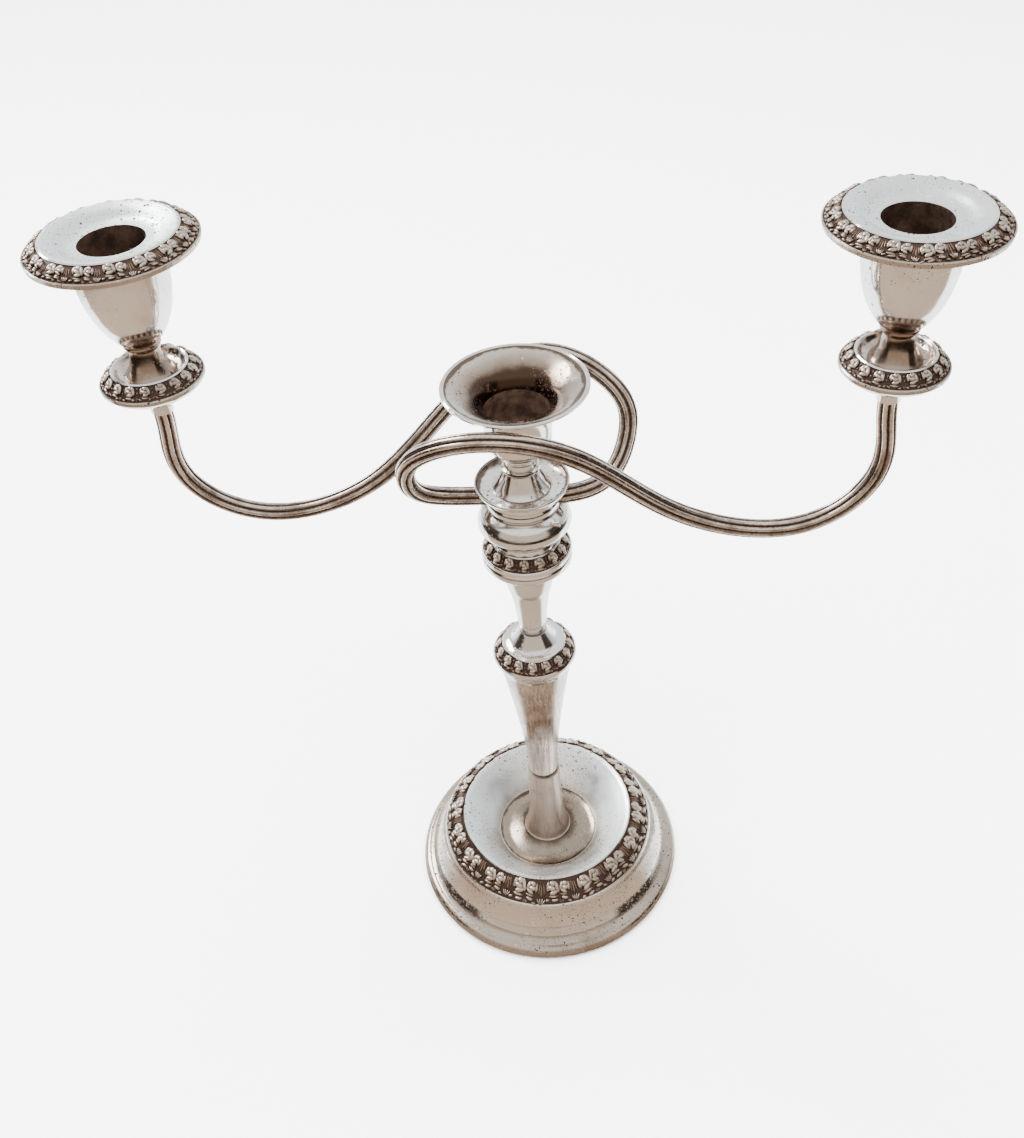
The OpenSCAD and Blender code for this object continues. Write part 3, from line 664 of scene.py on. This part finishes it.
def pits(tree, cells, size, share, patch_low, patch_high):
    """Small dark pits, in patches."""
    where = tree.nodes.new("ShaderNodeTexCoord")
    made = tree.nodes.new("ShaderNodeTexVoronoi")
    made.inputs["Scale"].default_value = cells
    tree.links.new(where.outputs["Object"], made.inputs["Vector"])
    spot = remap(tree, made.outputs["Distance"], size, size * 0.55)
    pick = tree.nodes.new("ShaderNodeSeparateColor")
    tree.links.new(made.outputs["Color"], pick.inputs[0])
    chosen = remap(tree, pick.outputs[0], 1 - share, 1 - share + 0.02)
    patch = remap(tree, noise(tree, 38, 2), patch_low, patch_high)
    return combine(tree, "MULTIPLY", combine(tree, "MULTIPLY", spot, chosen), patch)


# %% Worn silver
# DARK colours the pits, and the tarnish and painted shade in corners.
DARK = (0.022, 0.014, 0.010)
DULL_SHINE = 0.15
CREVICE_REACH = 2.6 * MM
RIPPLE = 0.10


def ring_distance(tree, centre_x):
    """How far a point is from the upright axis through centre_x."""
    where = tree.nodes.new("ShaderNodeTexCoord")
    shift = tree.nodes.new("ShaderNodeMapping")
    shift.inputs["Location"].default_value = (-centre_x, 0, 0)
    shift.inputs["Scale"].default_value = (1, 1, 0)
    length = tree.nodes.new("ShaderNodeVectorMath")
    length.operation = "LENGTH"
    tree.links.new(where.outputs["Object"], shift.inputs["Vector"])
    tree.links.new(shift.outputs["Vector"], length.inputs[0])
    return length.outputs["Value"]


def worn_silver(name, clean=(0.80, 0.75, 0.71), warm=(0.68, 0.575, 0.495), cloud=(0.45, 0.75),
                rough=(0.07, 0.2), pit_share=0.26, pit_patch=(0.48, 0.60), colour_rings=(), streaks=0.0):
    """Used silver plate. A colour ring is a colour and a strength that fade between two distances;
    several rings are painted shade or painted reflection.
    """
    made, tree, shader = new_material(name)
    stain = remap(tree, noise(tree, 46, 5, 0.6), *cloud)
    colour = blend_colour(tree, stain, clean, warm)
    smear = noise(tree, 210, 4, 0.65)
    colour = blend_colour(tree, remap(tree, smear, 0.52, 0.8, 0, 0.35), colour, (0.60, 0.48, 0.385))
    if streaks:
        streak = remap(tree, noise(tree, 1, 3, 0.6, (1100, 1100, 22)), 0.42, 0.66, 0, streaks)
        colour = blend_colour(tree, streak, colour, (0.34, 0.25, 0.20))
    wander = remap(tree, noise(tree, 120, 4, 0.6), 0.25, 0.75, -0.8 * MM, 0.8 * MM)
    for inner, outer, tint, strength in colour_rings:
        radius = math_node(tree, "ADD", ring_distance(tree, 0), wander)
        colour = blend_colour(tree, remap(tree, radius, inner, outer, strength, 0), colour, tint)
    # Closed-in corners are painted dark: tarnish, and painted shade where little light gets in.
    closed = remap(tree, crevice(tree, CREVICE_REACH), 0.25, 0.66)
    spots = combine(tree, "MAXIMUM", pits(tree, 420, 0.27, pit_share, *pit_patch),
                    pits(tree, 1000, 0.30, pit_share * 1.3, *pit_patch))
    pits_and_corner_shade = combine(tree, "MAXIMUM", closed, spots)
    colour = blend_colour(tree, pits_and_corner_shade, colour, DARK)
    tree.links.new(colour, shader.inputs["Base Color"])
    tree.links.new(remap(tree, pits_and_corner_shade, 0, 1, 1.0, 0.35), shader.inputs["Metallic"])
    shader.inputs["Specular IOR Level"].default_value = DULL_SHINE
    gloss = remap(tree, noise(tree, 130, 5, 0.6), 0.3, 0.75, *rough)
    dull = combine(tree, "ADD", gloss, combine(tree, "MULTIPLY", pits_and_corner_shade, 0.4))
    tree.links.new(dull, shader.inputs["Roughness"])
    normal = bump(tree, noise(tree, 26, 2, 0.4), RIPPLE, 1.2 * MM)
    normal = bump(tree, noise(tree, 1, 2, 0.5, (90, 90, 5200)), 0.10, 0.05 * MM, normal)
    normal = bump(tree, noise(tree, 1, 3, 0.6, (2600, 700, 300)), 0.08, 0.05 * MM, normal)
    normal = bump(tree, combine(tree, "SUBTRACT", 1.0, spots), 0.5, 0.12 * MM, normal)
    tree.links.new(normal, shader.inputs["Normal"])
    return made


# %% The silver of each piece
spun_silver = worn_silver("spun_silver")
pitted_silver = worn_silver("pitted_silver", clean=(0.76, 0.69, 0.63), pit_share=0.7,
                            pit_patch=(0.36, 0.47))
rim_silver = worn_silver("rim_silver", clean=(0.46, 0.375, 0.31), warm=(0.33, 0.25, 0.19),
                         rough=(0.14, 0.30), pit_share=0.85, pit_patch=(0.32, 0.44))
PLATE = {"clean": (0.86, 0.865, 0.85), "warm": (0.80, 0.78, 0.74), "cloud": (0.5, 0.85),
         "rough": (0.32, 0.48), "pit_share": 0.75, "pit_patch": (0.34, 0.50)}
plate_silver = worn_silver("plate_silver", **PLATE)
# Browner towards the well.
base_plate_silver = worn_silver("base_plate_silver", **PLATE,
                                colour_rings=[(21 * MM, 28 * MM, (0.31, 0.235, 0.165), 0.95)])
# Painted shade in the well: dark beside the trumpet, and a dark line at the well's edge.
WELL_PAINTED_SHADE = (0.070, 0.042, 0.030)
well_silver = worn_silver("well_silver", clean=(0.31, 0.245, 0.19), warm=(0.20, 0.145, 0.105),
                          rough=(0.16, 0.34), pit_share=0.6, pit_patch=(0.38, 0.52),
                          colour_rings=[(11 * MM, 15 * MM, WELL_PAINTED_SHADE, 0.9),
                                  (22.2 * MM, 21.2 * MM, WELL_PAINTED_SHADE, 0.9)])
trumpet_silver = worn_silver("trumpet_silver", clean=(0.52, 0.425, 0.37), warm=(0.42, 0.32, 0.265),
                             rough=(0.28, 0.44), streaks=0.35)
column_silver = worn_silver("column_silver", clean=(0.66, 0.57, 0.50), warm=(0.46, 0.36, 0.30),
                            rough=(0.10, 0.24), streaks=0.8)
# A painted dark line of shade just inside a rim.
RIM_PAINTED_SHADE = (0.085, 0.05, 0.035)
# Inside the bell: a painted tan reflection under the rim and a painted dark band of shade below it.
bell_silver = worn_silver("bell_silver", clean=(0.58, 0.50, 0.43), warm=(0.42, 0.32, 0.25),
                          rough=(0.10, 0.24), pit_share=0.8, pit_patch=(0.40, 0.52),
                          colour_rings=[(18.5 * MM, 23 * MM, (0.30, 0.21, 0.155), 0.8),
                                  (15.6 * MM, 19.2 * MM, (0.055, 0.030, 0.020), 0.97),
                                  (24.0 * MM, 23.2 * MM, RIM_PAINTED_SHADE, 0.9)])
# Browner towards the stem, with a painted dark line of shade inside the rim.
dish_silver = worn_silver("dish_silver", clean=(0.82, 0.77, 0.73), warm=(0.64, 0.52, 0.44),
                          pit_share=0.6, pit_patch=(0.40, 0.54),
                          colour_rings=[(7.5 * MM, 11 * MM, (0.50, 0.37, 0.29), 0.85),
                                  (16.0 * MM, 15.1 * MM, RIM_PAINTED_SHADE, 0.95)])
# Painted dark reflection: the cup feet and the bottoms of the cups are coloured dark brown.
painted_shade_silver = worn_silver("painted_shade_silver", clean=(0.34, 0.255, 0.205), warm=(0.20, 0.135, 0.10),
                            rough=(0.10, 0.26))
drip_silver = worn_silver("drip_silver", clean=(0.66, 0.56, 0.49), warm=(0.32, 0.23, 0.18),
                          cloud=(0.36, 0.58), pit_share=0.5, pit_patch=(0.42, 0.56))


# %% [markdown]
# Inside the candle holes the silver is painted dark brown, as painted shade, and made dull.
# The bores are part of the turned pieces, so they get a finish of their own and no new piece.

# %% Bore painted with shade
def painted_shade_bore(name):
    """The inside of a socket: dark brown, dull silver that stands for painted shade."""
    made, tree, shader = new_material(name)
    stain = remap(tree, noise(tree, 160, 5, 0.65), 0.35, 0.7)
    colour = blend_colour(tree, stain, (0.030, 0.017, 0.012), (0.10, 0.058, 0.040))
    tree.links.new(colour, shader.inputs["Base Color"])
    shader.inputs["Metallic"].default_value = 0.6
    tree.links.new(remap(tree, noise(tree, 420, 4), 0.3, 0.7, 0.35, 0.6), shader.inputs["Roughness"])
    normal = bump(tree, noise(tree, 1, 4, 0.6, (900, 900, 1600)), 0.3, 0.1 * MM)
    tree.links.new(normal, shader.inputs["Normal"])
    return made


bore = painted_shade_bore("painted_shade_bore")


# %% [markdown]
# On the roses and the reeds, the cloth reaches only what stands up, and the low parts lie in shade.
# So their colour follows the height that was stored with each point: almost black on the ground,
# brown on the flanks and bright on top. The dark low parts are tarnish and painted shade together.
# A painted picture could do the same, but it would need to be fitted to each ring.

# %% Cast and reeded silver
def relief_silver(name, ground, flank, crown, flank_rise, crown_rise, rough, patches):
    """Silver whose colour follows how high a point stands in the relief, with duller patches."""
    made, tree, shader = new_material(name)
    rise = tree.nodes.new("ShaderNodeAttribute")
    rise.attribute_name = "rise"
    unevenness = remap(tree, noise(tree, 700, 4, 0.6), 0.3, 0.7, 0.0, 0.16)
    wobble = combine(tree, "ADD", rise.outputs["Fac"], unevenness)
    # Ground and flanks darker than the crowns: tarnish and painted shade in the low parts.
    colour = blend_colour(tree, remap(tree, wobble, *flank_rise), ground, flank)
    dull = remap(tree, noise(tree, 85, 4, 0.6), 0.42, 0.68, 1.0, 1.0 - patches)
    crown_share = combine(tree, "MULTIPLY", remap(tree, wobble, *crown_rise), dull)
    colour = blend_colour(tree, crown_share, colour, crown)
    # Closed-in corners darker still: tarnish and painted shade.
    closed = remap(tree, crevice(tree, 1.3 * MM), 0.24, 0.64)
    colour = blend_colour(tree, closed, colour, DARK)
    tree.links.new(colour, shader.inputs["Base Color"])
    tree.links.new(remap(tree, wobble, *flank_rise, 0.45, 1.0), shader.inputs["Metallic"])
    shader.inputs["Specular IOR Level"].default_value = DULL_SHINE
    tree.links.new(remap(tree, noise(tree, 500, 4), 0.3, 0.7, *rough), shader.inputs["Roughness"])
    normal = bump(tree, noise(tree, 900, 4, 0.6), 0.25, 0.12 * MM)
    tree.links.new(normal, shader.inputs["Normal"])
    return made


# Near-black ground and brown flanks: tarnish and painted shade between the roses.
rose_silver = relief_silver(
    "rose_silver", ground=(0.022, 0.012, 0.009), flank=(0.22, 0.145, 0.105), crown=(0.58, 0.48, 0.405),
    flank_rise=(0.16, 0.50), crown_rise=(0.48, 0.84), rough=(0.24, 0.42), patches=0.45)
# Near-black grooves and brown flanks: tarnish and painted shade between the reeds.
reeded_silver = relief_silver(
    "reeded_silver", ground=(0.020, 0.012, 0.009), flank=(0.16, 0.105, 0.080), crown=(0.72, 0.62, 0.54),
    flank_rise=(0.42, 0.76), crown_rise=(0.64, 0.97), rough=(0.14, 0.30), patches=0.75)


# %% [markdown]
# The rod, the screws, the filling and the felt are hardly seen, and their nodes already have the
# right shape. They stay as they came from the frame and only get plain finishes.

# %% Plain inside finishes
def plain_finish(name, dark, light, metallic, rough, scale, relief):
    made, tree, shader = new_material(name)
    colour = blend_colour(tree, remap(tree, noise(tree, scale, 4), 0.3, 0.7), dark, light)
    tree.links.new(colour, shader.inputs["Base Color"])
    shader.inputs["Metallic"].default_value = metallic
    tree.links.new(remap(tree, noise(tree, scale * 2), 0.3, 0.7, *rough), shader.inputs["Roughness"])
    normal = bump(tree, noise(tree, scale * 3, 4), 0.3, relief)
    tree.links.new(normal, shader.inputs["Normal"])
    return made


FINISHES = {
    "steel": plain_finish("plain_steel", (0.30, 0.29, 0.28), (0.48, 0.47, 0.45), 1.0,
                          (0.3, 0.5), 600, 0.05 * MM),
    "filling": plain_finish("plaster_filling", (0.60, 0.56, 0.49), (0.78, 0.74, 0.67), 0.0,
                            (0.8, 0.95), 300, 0.3 * MM),
    "felt": plain_finish("green_felt", (0.025, 0.055, 0.032), (0.05, 0.10, 0.06), 0.0,
                         (0.9, 1.0), 1500, 0.4 * MM),
}

# %% Give every piece its finish
for node, piece in turned.items():
    finish = {"base_shell": pitted_silver, "lower_column": column_silver}.get(node, spun_silver)
    # The cup feet get the painted dark reflection.
    if node.startswith("cup_foot"):
        finish = painted_shade_silver
    piece.data.materials.append(finish)
for piece in borders.values():
    piece.data.materials.clear()
    piece.data.materials.append(rose_silver)
for piece in arms.values():
    piece.data.materials.append(reeded_silver)
slot_of = {p["node"]: p["material_slot"] for p in frame["record"]["subparts"]}
for node, obj in frame["nodes"].items():
    if not obj.hide_render:
        obj.data.materials.clear()
        obj.data.materials.append(FINISHES[slot_of[node]])
        print("kept from the frame:", node, "in", slot_of[node])


# %% [markdown]
# One turned piece can be bright on its wall, brown in its well and dull on its rim. Its faces are
# picked by their distance from the axis, their height and the way they look, and each group gets
# its own finish. Cutting the piece up would do the same, but it would leave seams.

# %% Finish one zone of a turned piece
LEAST_UPWARD = 0.3
LEAST_INWARD = 0.1


def finish_zone(node, material, inner, outer, low, high, facing):
    """Gives a finish to the faces between two distances from the axis and two heights.

    The distances are in millimetres. facing is "up", "in" towards the axis, or "any".
    """
    piece = turned[node]
    inner, outer = inner * MM, outer * MM
    corners = np.array([v.co for v in piece.data.vertices])
    centre = Vector((corners[:, 0].min() + corners[:, 0].max(), 0, 0)) / 2
    index = piece.data.materials.find(material.name)
    if index < 0:
        piece.data.materials.append(material)
        index = len(piece.data.materials) - 1
    count = 0
    for face in piece.data.polygons:
        spoke = Vector((face.center.x, face.center.y, 0)) - centre
        side = face.normal.dot(spoke.normalized()) if spoke.length > 1e-9 else 0
        upward = face.normal.z > LEAST_UPWARD
        inward = side < -LEAST_INWARD or (upward and inner == 0)
        right_way = {"up": upward, "in": inward, "any": True}[facing]
        if inner <= spoke.length < outer and low < face.center.z < high and right_way:
            face.material_index = index
            count += 1
    print(piece.name, material.name, count, "faces")


def heights(node):
    low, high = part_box(node)
    return low.z, high.z


# %% Zones of the turned pieces
shell_low, shell_high = heights("base_shell")
finish_zone("base_shell", rim_silver, 54, 70, shell_low, shell_low + 9 * MM, "any")
finish_zone("base_shell", base_plate_silver, 22, 38.8, shell_high - 16 * MM, shell_high + MM, "up")
foot_low, foot_high = heights("stem_foot")
finish_zone("stem_foot", well_silver, 10.2, 24, foot_low, foot_low + 8 * MM, "any")
finish_zone("stem_foot", trumpet_silver, 0, 11, foot_low + 5 * MM, foot_high + MM, "any")
column_low, _ = heights("lower_column")
# The foot of the lower column gets the bore's dark colour: a painted shadow line where it sits on the
# trumpet.
finish_zone("lower_column", bore, 0, 9, column_low - MM, column_low + 0.9 * MM, "any")
cup_low, cup_high = heights("centre_cup")
finish_zone("centre_cup", bell_silver, 0, 24.9, cup_high - 14 * MM, cup_high - 0.2 * MM, "in")
dish_low, dish_high = heights("dish")
finish_zone("dish", dish_silver, 0, 17.2, dish_low, dish_high + MM, "up")
for side in ("right", "left"):
    low, high = heights(f"nozzle_{side}")
    finish_zone(f"nozzle_{side}", rim_silver, 22.7, 31, low, high - 0.6 * MM, "any")
    finish_zone(f"nozzle_{side}", plate_silver, 11.3, 22.4, high - 6 * MM, high + MM, "up")
    low, high = heights(f"pan_{side}")
    finish_zone(f"pan_{side}", rim_silver, 12.8, 20, low, high - 0.6 * MM, "any")
    finish_zone(f"pan_{side}", drip_silver, 0, 12.8, low, high + MM, "up")
    low, high = heights(f"cup_{side}")
    # The bottom of the cup: painted dark reflection.
    finish_zone(f"cup_{side}", painted_shade_silver, 0, 9.5, low - MM, low + 3.5 * MM, "any")


# %% Dark bores
# The holes are painted dark brown: painted shade deep inside them.
for side in ("right", "left"):
    low, high = heights(f"nozzle_{side}")
    finish_zone(f"nozzle_{side}", bore, 0, 11.6, low - MM, high - 3.7 * MM, "in")
    low, high = heights(f"cup_{side}")
    finish_zone(f"cup_{side}", bore, 0, 15, low + 2 * MM, high - 0.5 * MM, "in")
finish_zone("centre_cup", bore, 0, 11.9, cup_low, cup_high - 11 * MM, "in")
low, high = heights("candle_socket")
finish_zone("candle_socket", bore, 0, 11.6, low, high - 0.3 * MM, "in")
